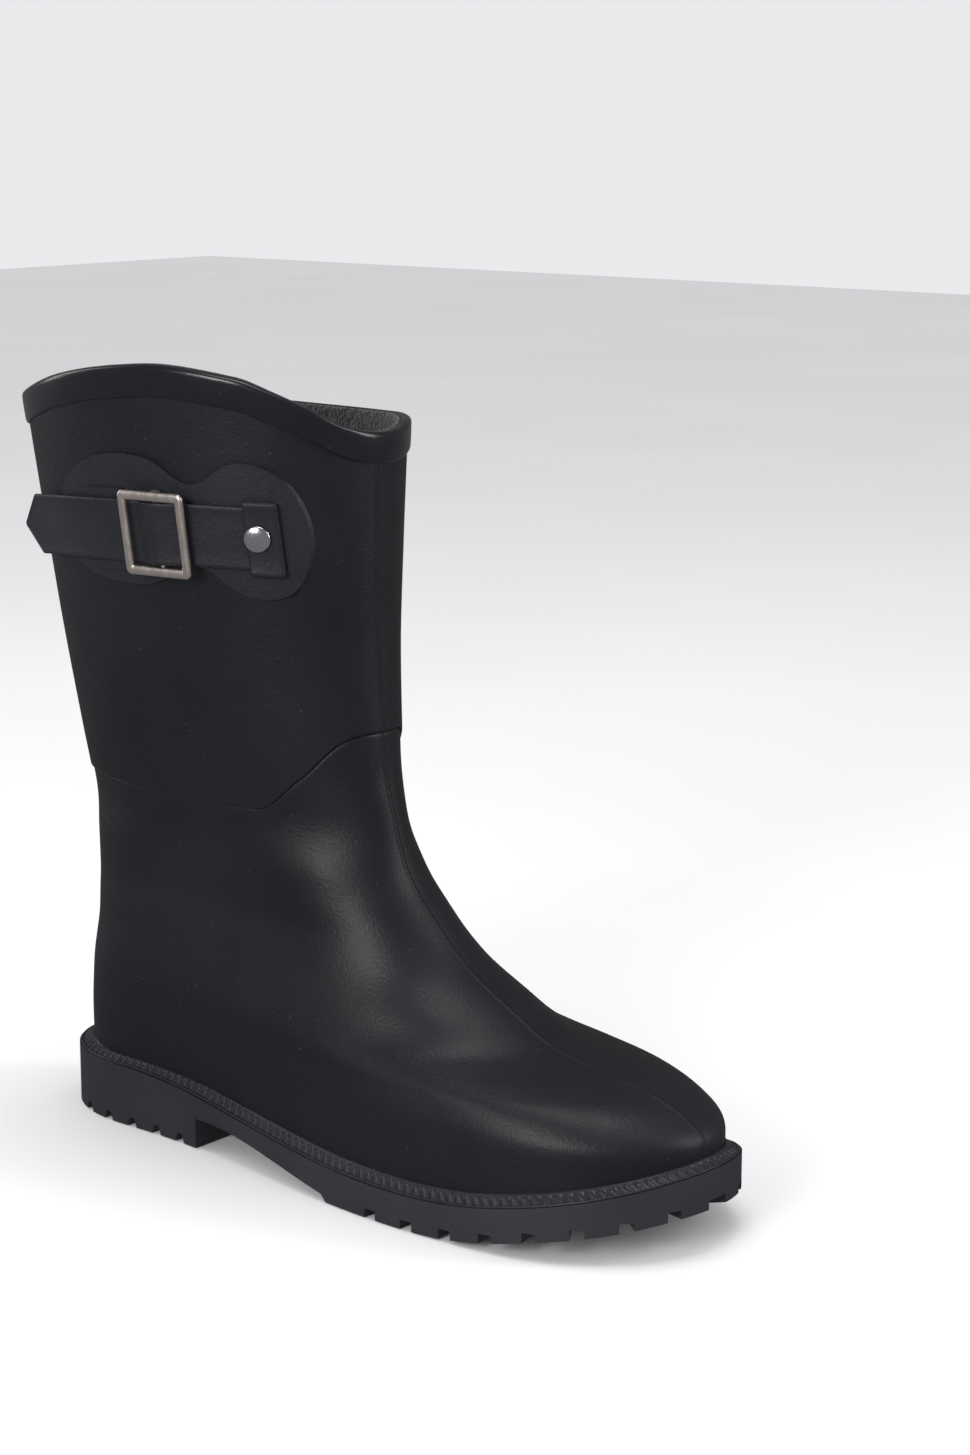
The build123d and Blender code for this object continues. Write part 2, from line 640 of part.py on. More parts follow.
with BuildPart() as buckle_chape:
    loft(band_sections(CHAPE_LIFTS, CHAPE_OUTER - CHAPE_INNER), ruled=True)
    extrude(band_face(CHAPE_HALF, CHAPE_END_X, BUCKLE_X + 5), amount=REACH, mode=Mode.INTERSECT)
    for side, align in ((1, Align.MIN), (-1, Align.MAX)):
        with BuildSketch(Plane.XZ):
            with Locations((NECK_END_X, BUCKLE_Z - 1 + side * NECK_HALF)):
                Rectangle(40, 40, align=(Align.MIN, align))
        extrude(amount=REACH, mode=Mode.SUBTRACT)
    with BuildSketch(bar_section):
        Circle(CENTRE_BAR_RADIUS + LOOP_WALL)
    extrude(amount=NECK_HALF, both=True)
    with BuildSketch(bar_section):
        Circle(CENTRE_BAR_RADIUS + 0.08)
    extrude(amount=NECK_HALF + 5, both=True, mode=Mode.SUBTRACT)

with BuildPart() as rivet_cap:
    with BuildSketch(rivet_plane.offset(RIVET_BASE_LIFT + RIVET_BASE_THICK + 0.05)):
        Circle(RIVET_STEM_RADIUS)
    extrude(amount=RIVET_CAP_LIFT - RIVET_BASE_LIFT - RIVET_BASE_THICK)
    with BuildSketch(rivet_plane.offset(RIVET_CAP_LIFT)):
        Circle(RIVET_CAP_RADIUS)
    extrude(amount=RIVET_CAP_THICK)
    rim = rivet_cap.edges().filter_by(GeomType.CIRCLE).filter_by(
        lambda edge: rivet_plane.to_local_coords(edge @ 0.5).Z > RIVET_CAP_LIFT + 1)
    fillet(rim, 1.1)

with BuildPart() as rivet_base:
    with BuildSketch(rivet_plane.offset(RIVET_BASE_LIFT)):
        Circle(RIVET_BASE_RADIUS)
    extrude(amount=RIVET_BASE_THICK)


# ---------------------------------------------------------------- the files
os.makedirs("parts", exist_ok=True)

leg_shell.part.label = "leg_shell"
export_step(leg_shell.part, "parts/leg_shell.step")

foot_shell.part.label = "foot_shell"
export_step(foot_shell.part, "parts/foot_shell.step")

top_binding.part.label = "top_binding"
export_step(top_binding.part, "parts/top_binding.step")

sock_lining.part.label = "sock_lining"
export_step(sock_lining.part, "parts/sock_lining.step")

insole_board.part.label = "insole_board"
export_step(insole_board.part, "parts/insole_board.step")

footbed_foam.part.label = "footbed_foam"
export_step(footbed_foam.part, "parts/footbed_foam.step")

footbed_cover.part.label = "footbed_cover"
export_step(footbed_cover.part, "parts/footbed_cover.step")

outsole.part.label = "outsole"
export_step(outsole.part, "parts/outsole.step")

heel_core.part.label = "heel_core"
export_step(heel_core.part, "parts/heel_core.step")

shank.part.label = "shank"
export_step(shank.part, "parts/shank.step")

welt_strip.part.label = "welt_strip"
export_step(welt_strip.part, "parts/welt_strip.step")

strap_patch.part.label = "strap_patch"
export_step(strap_patch.part, "parts/strap_patch.step")

buckle_chape.part.label = "buckle_chape"
export_step(buckle_chape.part, "parts/buckle_chape.step")

strap.part.label = "strap"
export_step(strap.part, "parts/strap.step")

strap_tail.part.label = "strap_tail"
export_step(strap_tail.part, "parts/strap_tail.step")

buckle_frame.part.label = "buckle_frame"
export_step(buckle_frame.part, "parts/buckle_frame.step")

buckle_bar.part.label = "buckle_bar"
export_step(buckle_bar.part, "parts/buckle_bar.step")

rivet_cap.part.label = "rivet_cap"
export_step(rivet_cap.part, "parts/rivet_cap.step")

rivet_base.part.label = "rivet_base"
export_step(rivet_base.part, "parts/rivet_base.step")
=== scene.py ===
import math
import bpy
import numpy as np
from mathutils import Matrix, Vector


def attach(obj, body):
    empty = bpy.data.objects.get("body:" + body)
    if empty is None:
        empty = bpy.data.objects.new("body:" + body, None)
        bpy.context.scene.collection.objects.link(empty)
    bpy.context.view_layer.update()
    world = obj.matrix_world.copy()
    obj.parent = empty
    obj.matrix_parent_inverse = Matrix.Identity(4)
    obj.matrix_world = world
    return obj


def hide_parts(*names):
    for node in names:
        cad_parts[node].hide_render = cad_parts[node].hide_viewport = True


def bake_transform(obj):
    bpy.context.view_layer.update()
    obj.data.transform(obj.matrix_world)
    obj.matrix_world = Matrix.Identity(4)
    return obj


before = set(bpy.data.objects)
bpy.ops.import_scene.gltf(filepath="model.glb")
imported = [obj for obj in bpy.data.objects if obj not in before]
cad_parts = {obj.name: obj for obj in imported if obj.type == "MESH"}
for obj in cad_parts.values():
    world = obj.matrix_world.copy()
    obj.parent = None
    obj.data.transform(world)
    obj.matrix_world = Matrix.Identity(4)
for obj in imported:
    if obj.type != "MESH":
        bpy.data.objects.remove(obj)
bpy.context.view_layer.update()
MM = 0.001

# ------------------------------------------------------------------ the boot's form, as in the CAD
# +X points to the toe, -Y is the outer side. Lines list (height, value) or (x, height), in mm.
FOOT_Y = 6.0
TOE_SWING = 9.5
LEAN_START = 93.0
LEAN_RATE = 0.058
LEG_FACE = 0.4
FOOT_FACE = -0.4
WALL_INNER = -2.4
HEEL_LINE = [(0, -134), (23, -135), (37, -134.6), (58, -132.5), (80, -129.3), (110, -129.5),
             (132, -132.8), (150, -133.8), (186, -136.5), (225, -139), (266, -142), (300, -144.5)]
INSTEP_LINE = [(0, 135), (23, 139), (36, 139.3), (43, 133), (48.5, 122), (52.3, 105), (55, 90.5),
               (58.3, 77), (67, 61.5), (79, 43), (94, 29), (112, 17.2), (130, 12.4), (150, 9.2),
               (186, 8.2), (225, 9.9), (266, 12.8), (300, 15.4)]
HEEL_HALF = [(0, 26), (23, 27.5), (45, 29), (60, 29.6), (80, 28.6), (100, 27), (113, 27.6),
             (131, 31), (150, 35.3), (186, 41.1), (225, 46.2), (266, 50.6), (300, 54)]
BALL_HALF = [(0, 42), (23, 44.8), (37, 45), (48.5, 43), (58, 39), (67, 35.6), (79, 31.6),
             (94, 28.4), (113, 28), (131, 31.2), (150, 35.3), (186, 41.1), (225, 46.2),
             (266, 50.6), (300, 54)]
HEEL_CAP = [(0, 35), (95, 35.5), (110, 40), (131, 72.6), (150, 71.5), (186, 72.4), (225, 74.5),
            (266, 77.4), (300, 80)]
TOE_CAP = [(0, 69), (37, 69), (58, 63.5), (79, 48.5), (94, 41), (110, 42), (131, 72.6),
           (150, 71.5), (186, 72.4), (225, 74.5), (266, 77.4), (300, 80)]
SWING = [(0, 1.0), (37, 0.9), (58, 0.6), (79, 0.3), (94, 0.1), (112, 0.0), (300, 0.0)]
RIM_LINE = [(-175, 22.6), (-142, 22.6), (-96, 22.4), (-62, 19.9), (-43, 17.7), (-23, 15.6),
            (0, 13.6), (22, 12.3), (50, 12.0), (72, 13.2), (90, 16.0), (115, 21.0), (130, 24.8),
            (144, 29.0), (175, 38)]
STEP_LINE = [(-175, 131.4), (-28, 131.4), (-10, 144), (8, 159.8), (60, 159.8)]
TOPLINE_OUTER = [(-175, 262), (-145, 270), (-118, 277.5), (-89, 286), (-60, 291), (-38, 293),
                 (-14, 291.3), (-3, 286.5), (5, 280.5), (10, 273.5), (16, 267), (40, 258)]
TOPLINE_INNER = [(-175, 264), (-145, 264), (-60, 262.5), (-10, 261), (16, 260), (40, 259)]
FEATHER_DROP = 4.5
SOLE = (-142.0, 144.0, 31.2, 48.9, 42.8, 68.0)


def curve(line, t):
    """Monotone cubic curve through a line's points, at each t."""
    t = np.asarray(t, float)
    xs, ys = np.array(line, float).T
    rise = np.diff(ys) / np.diff(xs)
    slope = np.empty(len(xs))
    slope[0], slope[-1] = rise[0], rise[-1]
    both = rise[:-1] * rise[1:]
    slope[1:-1] = np.where(both > 0, 2 * both / np.where(both > 0, rise[:-1] + rise[1:], 1), 0)
    i = np.clip(np.searchsorted(xs, t, side="right") - 1, 0, len(rise) - 1)
    span = xs[i + 1] - xs[i]
    s = (t - xs[i]) / span
    bend = (2 * s**3 - 3 * s**2 + 1) * ys[i] + (3 * s**2 - 2 * s**3) * ys[i + 1]
    return bend + span * ((s**3 - 2 * s**2 + s) * slope[i] + (s**3 - s**2) * slope[i + 1])


def outline(back, front, heel_half, ball_half, heel_cap, toe_cap, swing, z, turn):
    u = (1 - np.cos(turn)) / 2
    x = back + u * (front - back)
    s = np.clip((u - 0.2) / 0.5, 0, 1)
    half = heel_half + (ball_half - heel_half) * s * s * (3 - 2 * s)
    heel = np.clip(1 - (x - back) / heel_cap, 0, 1)
    toe = np.clip(1 - (front - x) / toe_cap, 0, 1)
    half = half * np.sqrt(1 - heel**2.2) * np.sqrt(1 - toe**2.2)
    lean = LEAN_RATE * np.maximum(0, z - LEAN_START)
    middle = FOOT_Y + swing * np.maximum(0, (u - 0.3) / 0.7) ** 1.5 - lean
    return x, middle - half * np.sign(np.sin(turn)), middle


def base(turn, z):
    x, y, _ = outline(curve(HEEL_LINE, z), curve(INSTEP_LINE, z), curve(HEEL_HALF, z),
                      curve(BALL_HALF, z), curve(HEEL_CAP, z), curve(TOE_CAP, z),
                      TOE_SWING * curve(SWING, z), z, turn)
    return np.stack([x, y, z + 0 * x], -1)


def skin(turn, z, lift):
    """Points on the boot's form, moved out along its normals by lift."""
    turn, z, lift = np.broadcast_arrays(np.asarray(turn, float), z, lift)
    across = base(turn + 0.004, z) - base(turn - 0.004, z)
    upward = base(turn, z + 0.3) - base(turn, z - 0.3)
    normal = np.cross(across, upward)
    normal /= np.linalg.norm(normal, axis=-1, keepdims=True)
    return base(turn, z) + normal * lift[..., None]


def height_on(line, turn):
    """Heights where the form meets a side profile, which is a function of the points there."""
    z = np.full(turn.shape, 60.0)
    for _ in range(200):
        z = 0.6 * z + 0.4 * line(base(turn, z))
    return z


def rim(p):
    return curve(RIM_LINE, p[..., 0])


def feather(p):
    return rim(p) - FEATHER_DROP


def step(p):
    return curve(STEP_LINE, p[..., 0])


def topline(p):
    share = (p[..., 1] + 80) / 140
    return (1 - share) * curve(TOPLINE_OUTER, p[..., 0]) + share * curve(TOPLINE_INNER, p[..., 0])


def turns(count):
    return np.arange(count) * 2 * math.pi / count + 1e-4


# ------------------------------------------------------------------ mesh helpers
def new_object(name, points, faces, uv=None, smooth=True):
    mesh = bpy.data.meshes.new(name)
    mesh.from_pydata((np.asarray(points, float) * MM).tolist(), [], faces)
    if uv is not None:
        layer = mesh.uv_layers.new(name="girth")
        loops = np.zeros(len(mesh.loops), dtype=np.int32)
        mesh.loops.foreach_get("vertex_index", loops)
        layer.data.foreach_set("uv", (np.asarray(uv, float) * MM)[loops].ravel())
    mesh.polygons.foreach_set("use_smooth", [smooth] * len(mesh.polygons))
    mesh.validate()
    obj = bpy.data.objects.new(name, mesh)
    bpy.context.scene.collection.objects.link(obj)
    return obj


def grid_faces(rows, cols, close_rows, close_cols, start=0):
    last_row = rows if close_rows else rows - 1
    last_col = cols if close_cols else cols - 1
    faces = []
    for r in range(last_row):
        a, b = r * cols, ((r + 1) % rows) * cols
        for c in range(last_col):
            d = (c + 1) % cols
            faces.append((start + a + c, start + a + d, start + b + d, start + b + c))
    return faces


def grid_object(name, grid, close_rows=True, close_cols=True, flip=False):
    """Mesh from a (rows, columns, 3) grid in mm, with a girth UV centred on the front seam."""
    rows, cols = grid.shape[:2]
    faces = grid_faces(rows, cols, close_rows, close_cols)
    if flip:
        faces = [f[::-1] for f in faces]
    girth = np.cumsum(np.linalg.norm(np.diff(grid, axis=1, append=grid[:, :1]), axis=-1), axis=1)
    girth = girth - girth[:, [cols // 2 - 1]]
    some = grid[:, ::8]
    rise = np.cumsum(np.linalg.norm(np.diff(some, axis=0, prepend=some[:1]), axis=-1).mean(1))
    uv = np.stack([girth, np.repeat(rise[:, None], cols, 1)], -1).reshape(-1, 2)
    return new_object(name, grid.reshape(-1, 3), faces, uv)


def smoothstep(a, b, t):
    s = np.clip((t - a) / (b - a), 0, 1)
    return s * s * (3 - 2 * s)


# ------------------------------------------------------------------ materials
def nodes_of(name):
    mat = bpy.data.materials.new(name)
    mat.use_nodes = True
    tree = mat.node_tree
    return mat, tree, tree.nodes["Principled BSDF"]


def add_node(tree, kind, **values):
    node = tree.nodes.new(kind)
    for key, value in values.items():
        if key in node.inputs:
            node.inputs[key].default_value = value
        else:
            setattr(node, key, value)
    return node


def noise(tree, scale, detail=3.0, rough=0.55, stretch=None):
    coords = add_node(tree, "ShaderNodeTexCoord")
    source = coords.outputs["Object"]
    if stretch:
        mapping = add_node(tree, "ShaderNodeMapping", Scale=stretch)
        tree.links.new(source, mapping.inputs["Vector"])
        source = mapping.outputs["Vector"]
    node = add_node(tree, "ShaderNodeTexNoise", Scale=scale, Detail=detail, Roughness=rough)
    tree.links.new(source, node.inputs["Vector"])
    return node


def ramp(tree, source, stops):
    node = tree.nodes.new("ShaderNodeValToRGB")
    while len(node.color_ramp.elements) < len(stops):
        node.color_ramp.elements.new(0.5)
    for element, (at, colour) in zip(node.color_ramp.elements, stops):
        element.position = at
        element.color = colour if len(colour) == 4 else (*colour, 1)
    tree.links.new(source, node.inputs["Fac"])
    return node


def grey(value):
    return (value, value, value)


def bump(tree, heights, shader):
    """Bumps one after another: (height output, strength, distance)."""
    previous = None
    for height, strength, distance in heights:
        node = add_node(tree, "ShaderNodeBump", Strength=strength, Distance=distance)
        tree.links.new(height, node.inputs["Height"])
        if previous:
            tree.links.new(previous.outputs["Normal"], node.inputs["Normal"])
        previous = node
    tree.links.new(previous.outputs["Normal"], shader.inputs["Normal"])


def rubber(name, dark, light, rough_low, rough_high,
           grain=0.35, grain_size=900, coat=0.0, seam=False):
    """Moulded rubber: cloudy tone, fine grain, dust specks and, on the shells, the parting line."""
    mat, tree, shader = nodes_of(name)
    cloud = noise(tree, 14, 4)
    fine = noise(tree, grain_size, 2.5, 0.6)
    colour = ramp(tree, cloud.outputs["Fac"], [(0.35, dark), (0.7, light)])
    specks = noise(tree, 700, 1.0, 0.5)
    dust = ramp(tree, specks.outputs["Fac"], [(0.76, grey(0.0)), (0.82, grey(0.06))])
    mix = add_node(tree, "ShaderNodeMixRGB", blend_type="ADD")
    mix.inputs["Fac"].default_value = 0.5
    tree.links.new(colour.outputs["Color"], mix.inputs["Color1"])
    tree.links.new(dust.outputs["Color"], mix.inputs["Color2"])
    tree.links.new(mix.outputs["Color"], shader.inputs["Base Color"])
    patchy = noise(tree, 46, 5)
    rough = ramp(tree, patchy.outputs["Fac"], [(0.3, grey(rough_low)), (0.72, grey(rough_high))])
    tree.links.new(rough.outputs["Color"], shader.inputs["Roughness"])
    shader.inputs["Specular IOR Level"].default_value = 0.36
    shader.inputs["Coat Weight"].default_value = coat
    shader.inputs["Coat Roughness"].default_value = 0.3
    heights = [(fine.outputs["Fac"], grain, 0.0004), (patchy.outputs["Fac"], 0.12, 0.0015)]
    if seam:
        uv = add_node(tree, "ShaderNodeUVMap", uv_map="girth")
        split = add_node(tree, "ShaderNodeSeparateXYZ")
        tree.links.new(uv.outputs["UV"], split.inputs["Vector"])
        away = add_node(tree, "ShaderNodeMath", operation="ABSOLUTE")
        tree.links.new(split.outputs["X"], away.inputs[0])
        far = add_node(tree, "ShaderNodeMapRange")
        far.inputs["From Max"].default_value = 0.0011
        tree.links.new(away.outputs["Value"], far.inputs["Value"])
        ridge = ramp(tree, far.outputs["Result"],
                     [(0.0, grey(1.0)), (0.35, grey(0.8)), (1.0, grey(0.0))])
        heights.append((ridge.outputs["Color"], 0.8, 0.0003))
    bump(tree, heights, shader)
    return mat


SHELL = rubber("shell_rubber", (0.0055, 0.0055, 0.0085), (0.0085, 0.0083, 0.0125),
               0.42, 0.52, seam=True)
BINDING = rubber("binding_rubber", (0.0055, 0.0055, 0.0080), (0.008, 0.008, 0.011),
                 0.18, 0.26, 0.14, 700, 0.3)
SOLE_MAT = rubber("sole_rubber", (0.0150, 0.0160, 0.0200), (0.0220, 0.0235, 0.0290),
                  0.48, 0.60, 0.30, 800)
WELT_MAT = rubber("welt_rubber", (0.0110, 0.0115, 0.0150), (0.017, 0.018, 0.023),
                  0.36, 0.46, 0.25, 900)
STRAP_MAT = rubber("strap_rubber", (0.0095, 0.0097, 0.0130), (0.0140, 0.0143, 0.0190),
                   0.42, 0.54, 0.50, 620)


def knit(name, colour, light, scale):
    """Fleecy knit: loops laid out along the girth, with grey flecks and a fine fuzz."""
    mat, tree, shader = nodes_of(name)
    coords = add_node(tree, "ShaderNodeUVMap", uv_map="girth")
    loops = add_node(tree, "ShaderNodeTexVoronoi", Scale=scale, feature="F1")
    tree.links.new(coords.outputs["UV"], loops.inputs["Vector"])
    fuzz = noise(tree, 1500, 3)
    flecks = noise(tree, 520, 2, 0.7)
    tone = ramp(tree, flecks.outputs["Fac"], [(0.45, colour), (0.66, light)])
    tree.links.new(tone.outputs["Color"], shader.inputs["Base Color"])
    shader.inputs["Roughness"].default_value = 0.95
    shader.inputs["Sheen Weight"].default_value = 0.2
    shader.inputs["Sheen Roughness"].default_value = 0.5
    bump(tree, [(loops.outputs["Distance"], 0.8, 0.0008), (fuzz.outputs["Fac"], 0.9, 0.0007)], shader)
    return mat


LINING = knit("knit_lining", (0.008, 0.008, 0.009), (0.05, 0.05, 0.052), 650)
FOOTBED = knit("footbed_cloth", (0.016, 0.016, 0.018), (0.060, 0.060, 0.064), 800)


def metal(name, low, high, rough_low, rough_high, brush):
    """Plated metal, brushed along the axis that brush shrinks."""
    mat, tree, shader = nodes_of(name)
    shader.inputs["Metallic"].default_value = 1.0
    stain = noise(tree, 160, 4)
    tone = ramp(tree, stain.outputs["Fac"], [(0.3, low), (0.7, high)])
    tree.links.new(tone.outputs["Color"], shader.inputs["Base Color"])
    lines = noise(tree, 900, 3, 0.6, brush)
    rough = ramp(tree, lines.outputs["Fac"], [(0.3, grey(rough_low)), (0.75, grey(rough_high))])
    tree.links.new(rough.outputs["Color"], shader.inputs["Roughness"])
    bump(tree, [(lines.outputs["Fac"], 0.12, 0.0001)], shader)
    return mat


BUCKLE = metal("buckle_metal", (0.90, 0.79, 0.72), (0.97, 0.88, 0.82), 0.30, 0.44, (1, 1, 0.12))
RIVET = metal("rivet_metal", (0.80, 0.81, 0.83), (0.90, 0.91, 0.93), 0.12, 0.22, (1, 1, 1))
STEEL = metal("shank_steel", (0.42, 0.43, 0.45), (0.56, 0.57, 0.60), 0.3, 0.45, (0.1, 1, 1))


def filler(name, dark, light, size, rough):
    """Plain grainy material for the pieces inside the sole."""
    mat, tree, shader = nodes_of(name)
    cells = noise(tree, size, 4)
    tone = ramp(tree, cells.outputs["Fac"], [(0.3, dark), (0.7, light)])
    tree.links.new(tone.outputs["Color"], shader.inputs["Base Color"])
    shader.inputs["Roughness"].default_value = rough
    bump(tree, [(cells.outputs["Fac"], 0.5, 0.0004)], shader)
    return mat


BOARD = filler("insole_board", (0.24, 0.20, 0.155), (0.34, 0.29, 0.23), 500, 0.85)
HEEL_FILL = filler("heel_filler", (0.05, 0.05, 0.05), (0.09, 0.09, 0.09), 300, 0.8)


def wear(obj, mat, body="boot", nodes=()):
    """Dresses a piece in a material, puts it on its body and hides the CAD nodes it stands in for."""
    obj.data.materials.clear()
    obj.data.materials.append(mat)
    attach(obj, body)
    if nodes:
        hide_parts(*nodes)
    return obj


# ------------------------------------------------------------------ leg, foot and lining
COLS = 224
TURN = turns(COLS)
STEP_Z = height_on(step, TURN)
FEATHER_Z = height_on(feather, TURN)
TOP_Z = height_on(topline, TURN)

walk = np.linspace(0, 300, 3001)
run = np.concatenate([[0], np.cumsum(np.hypot(np.diff(walk), np.diff(curve(INSTEP_LINE, walk))))])


def rows_between(low, high, count):
    """Heights from low to high, spaced evenly along the instep's own length."""
    a, b = np.interp(low, walk, run), np.interp(high, walk, run)
    share = np.linspace(0, 1, count)[:, None]
    return np.interp(a + (b - a) * share, run, walk)


# The step where the leg laps the foot is crisp at front and back and fades on the sides.
step_x = base(TURN, STEP_Z)[:, 0]
CRISP = 0.22 + 0.78 * np.maximum(smoothstep(-22, 2, step_x), smoothstep(-96, -122, step_x))

# Each row of a skin is a ring of heights and its lift from the form, outside up and inside down.
leg_z, leg_lift = [], []
LEG_LIP = [(1.6, -1.0), (0.25, -1.0), (0.0, -0.75), (0.0, -0.2), (0.07, 0.1), (0.28, 0.31),
           (0.65, 0.40)]
for rise, lift in LEG_LIP:
    leg_z.append(STEP_Z + rise)
    leg_lift.append(lift + 0 * TURN)
for z in rows_between(STEP_Z + 1.4, TOP_Z - 3.0, 90):
    leg_z.append(z)
    leg_lift.append(LEG_FACE + 0 * TURN)
for z in rows_between(TOP_Z - 3.0, STEP_Z + 13.0, 40):
    leg_z.append(z)
    leg_lift.append(WALL_INNER + 0 * TURN)
leg_z.append(STEP_Z + 12.5)
leg_lift.append(-1.0 + 0 * TURN)
leg = grid_object("leg_skin", skin(TURN, np.array(leg_z), np.array(leg_lift)))
wear(leg, SHELL, nodes=["leg_shell"])

FOOT_ROWS = 170
LIP_FADE = 0.62              # how far the foot rises towards the leg's face where the step is soft
foot_z, foot_lift = [], []
for z in rows_between(FEATHER_Z + 0.2, STEP_Z - 1.3, FOOT_ROWS):
    foot_z.append(z)
    foot_lift.append(FOOT_FACE + LIP_FADE * (1 - CRISP) * smoothstep(9.0, 1.3, STEP_Z - z))
for rise, dip in [(-0.9, 0.08), (-0.5, 0.3), (-0.1, 0.55)]:
    foot_z.append(STEP_Z + rise)
    foot_lift.append(FOOT_FACE + LIP_FADE * (1 - CRISP) - dip * CRISP)
for rise, lift in [(0.4, -1.1), (3, -1.1), (11.8, -1.1), (11.8, -2.3)]:
    foot_z.append(STEP_Z + rise)
    foot_lift.append(lift + 0 * TURN)
for z in rows_between(STEP_Z + 9.0, FEATHER_Z + 2.6, 100):
    foot_z.append(z)
    foot_lift.append(WALL_INNER + 0 * TURN)
foot_grid = skin(TURN, np.array(foot_z), np.array(foot_lift))

# The outer rows are faired without shrinking: pulls towards the neighbours alternate with pushes.
fair = foot_grid[:FOOT_ROWS]
row_number = np.arange(FOOT_ROWS)
hold = (smoothstep(1, 10, row_number)
        * smoothstep(FOOT_ROWS - 2, FOOT_ROWS - 16, row_number))[1:-1, None, None]
for sweep in range(160):
    pull = 0.5 if sweep % 2 == 0 else -0.515
    fair[1:-1] += hold * pull * 0.5 * (fair[:-2] + fair[2:] - 2 * fair[1:-1])
foot = grid_object("foot_skin", foot_grid)
wear(foot, SHELL, nodes=["foot_shell"])

# The binding: a flat band with softly rounded edges, rolled over the shell's top.
BAND = [(-10.7, 0.42), (-10.75, 0.8), (-10.62, 1.12), (-10.2, 1.38), (-9.4, 1.5),
        (-6.0, 1.56), (-2.0, 1.5), (-1.1, 1.42), (-0.45, 1.12), (-0.1, 0.6), (0.0, 0.0),
        (0.0, -1.1), (-0.12, -1.75), (-0.5, -2.2), (-1.2, -2.42), (-4.0, -2.42),
        (-4.2, -2.3), (-4.2, 0.42)]
band_grid = skin(TURN, np.array([TOP_Z + rise for rise, _ in BAND]),
                 np.array([lift + 0 * TURN for _, lift in BAND]))
binding = grid_object("binding_band", band_grid)
wear(binding, BINDING, nodes=["top_binding"])

LINING_EDGE = [(-6.0, -2.5), (-1.2, -2.5), (-0.55, -2.62), (-0.30, -2.95), (-0.32, -3.3),
               (-0.7, -3.58), (-1.3, -3.7)]
lining_z, lining_lift = [], []
for rise, lift in LINING_EDGE:
    lining_z.append(TOP_Z + rise)
    lining_lift.append(lift + 0 * TURN)
for z in rows_between(TOP_Z - 2.2, FEATHER_Z + 3.4, 170):
    lining_z.append(z)
    lining_lift.append(-3.7 + 0 * TURN)
for z in rows_between(FEATHER_Z + 2.4, TOP_Z - 7.0, 80):
    lining_z.append(z)
    lining_lift.append(-2.5 + 0 * TURN)
lining_grid = skin(TURN, np.array(lining_z), np.array(lining_lift))
lining = grid_object("lining_sock", lining_grid, flip=True)
wear(lining, LINING, nodes=["sock_lining"])

# The footbed: a cloth-covered foam plate with a soft rounded edge and a slightly hollow heel.
BED = turns(160)
BED_RINGS = [(5.1, -4.4, 1.0), (5.6, -4.25, 1.0), (8.9, -4.25, 1.0), (9.6, -4.5, 1.0),
             (9.9, -5.2, 1.0), (9.9, -5.2, 0.93), (9.85, -5.2, 0.8), (9.7, -5.2, 0.6),
             (9.6, -5.2, 0.35), (9.6, -5.2, 0.05)]
bed_rows = []
for lift_up, inset, share in BED_RINGS:
    z = height_on(lambda p: feather(p) + lift_up, BED)
    ring = skin(BED, z, inset)
    middle = FOOT_Y + TOE_SWING * 0.9 * np.maximum(0, ((ring[:, 0] + 134) / 273 - 0.3) / 0.7) ** 1.5
    ring[:, 1] = middle + (ring[:, 1] - middle) * share
    bed_rows.append(ring)
bed = grid_object("footbed_pad", np.array(bed_rows), close_rows=False)
wear(bed, FOOTBED, nodes=["footbed_foam", "footbed_cover"])

# ------------------------------------------------------------------ the ribbed welt
PITCH = 3.7
NOTCH_DEPTH = 1.1
NOTCH_SLANT = 0.16
dense = turns(2400)


def sole_edge(turn, inset):
    back, front, heel_half, ball_half, heel_cap, toe_cap = SOLE
    x, y, _ = outline(back + inset, front - inset, heel_half - inset, ball_half - inset,
                      heel_cap - inset, toe_cap - inset, TOE_SWING, 0 * turn, turn)
    return x, y


ex, ey = sole_edge(dense, 0.0)
along = np.concatenate([[0], np.cumsum(np.hypot(np.diff(ex), np.diff(ey)))])
length = along[-1] + math.hypot(ex[0] - ex[-1], ey[0] - ey[-1])
ribs = round(length / PITCH)
STEPS = 8
spots = (np.arange(ribs * STEPS) + 0.5) * length / (ribs * STEPS)
WELT_TURN = np.interp(spots, np.append(along, length), np.append(dense, dense[0] + 2 * math.pi))
phase = np.arange(ribs * STEPS) / STEPS
# The welt's section from the sole's rim inwards: (inset, rise above the rim line, how ribbed).
WELT = [(0.9, -0.2, 0.0), (0.55, 0.12, 0.0), (0.5, 0.55, 0.0), (0.8, 0.86, 0.0), (1.15, 0.85, 0.0),
        (1.4, 0.6, 0.0), (1.6, 0.75, 1.0), (2.0, 1.15, 1.0), (2.7, 1.75, 1.0), (3.4, 2.35, 1.0),
        (3.9, 2.8, 0.8), (4.15, 2.85, 0.0), (4.4, 3.3, 0.0), (4.8, 3.75, 0.0), (5.4, 3.95, 0.0),
        (6.0, 3.7, 0.0), (6.5, 3.0, 0.0), (6.6, 0.3, 0.0), (3.0, 0.1, 0.0)]
welt_rows = []
for inset, rise, ribbed in WELT:
    x, y = sole_edge(WELT_TURN, inset)
    slant = (inset - 1.6) * NOTCH_SLANT
    notch = np.abs(((phase + slant) % 1.0) - 0.5) * 2
    cut = ribbed * NOTCH_DEPTH * smoothstep(0.45, 0.9, notch)
    z = curve(RIM_LINE, x) + rise - cut
    welt_rows.append(np.stack([x, y, z], -1))
welt = grid_object("welt_ribbed", np.array(welt_rows), flip=True)
wear(welt, WELT_MAT, nodes=["welt_strip"])

